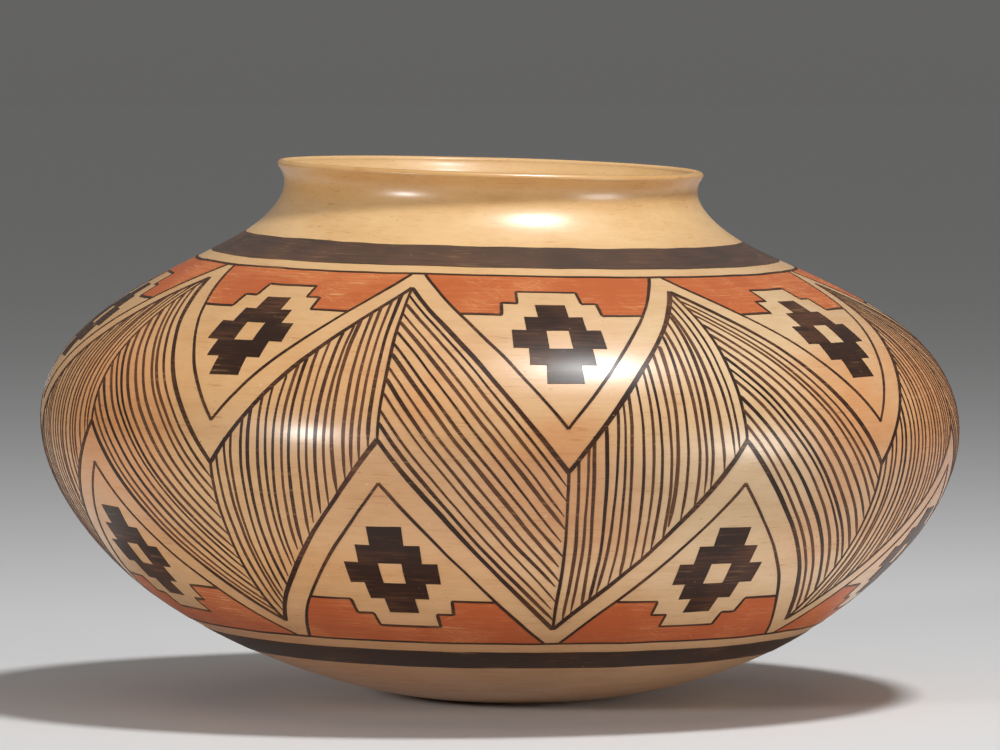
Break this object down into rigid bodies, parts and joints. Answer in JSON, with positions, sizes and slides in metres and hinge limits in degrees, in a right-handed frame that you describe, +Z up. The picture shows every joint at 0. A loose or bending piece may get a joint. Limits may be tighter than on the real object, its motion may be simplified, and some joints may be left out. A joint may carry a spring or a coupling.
{
  "type": "pueblo pottery jar",
  "caption": "Wide low-bellied clay jar, coil-built by hand, with a rounded shoulder, short neck and small flared lip, burnished and painted with bands and a geometric frieze.",
  "frame": {"origin": "middle of the flat foot, on the surface that the jar stands on", "axes": "+Z up through the mouth, -Y towards the pictured front, +X to the right of it"},
  "size_m": [0.3, 0.3, 0.1769],
  "materials": {
    "clay": "stone-burnished, unglazed fired clay",
    "dark_paint": "matte dark brown mineral paint",
    "red_paint": "burnished red clay paint"
  },
  "bodies": {
    "root": {"moulded_base": "clay", "lower_coil_1": "clay", "lower_coil_2": "clay", "lower_coil_3": "clay", "lower_coil_4": "clay", "belly_coil_1": "clay", "belly_coil_2": "clay", "belly_coil_3": "clay", "shoulder_coil_1": "clay", "shoulder_coil_2": "clay", "shoulder_coil_3": "clay", "shoulder_coil_4": "clay", "neck_coil": "clay", "rim_coil": "clay"}
  },
  "joints": []
}
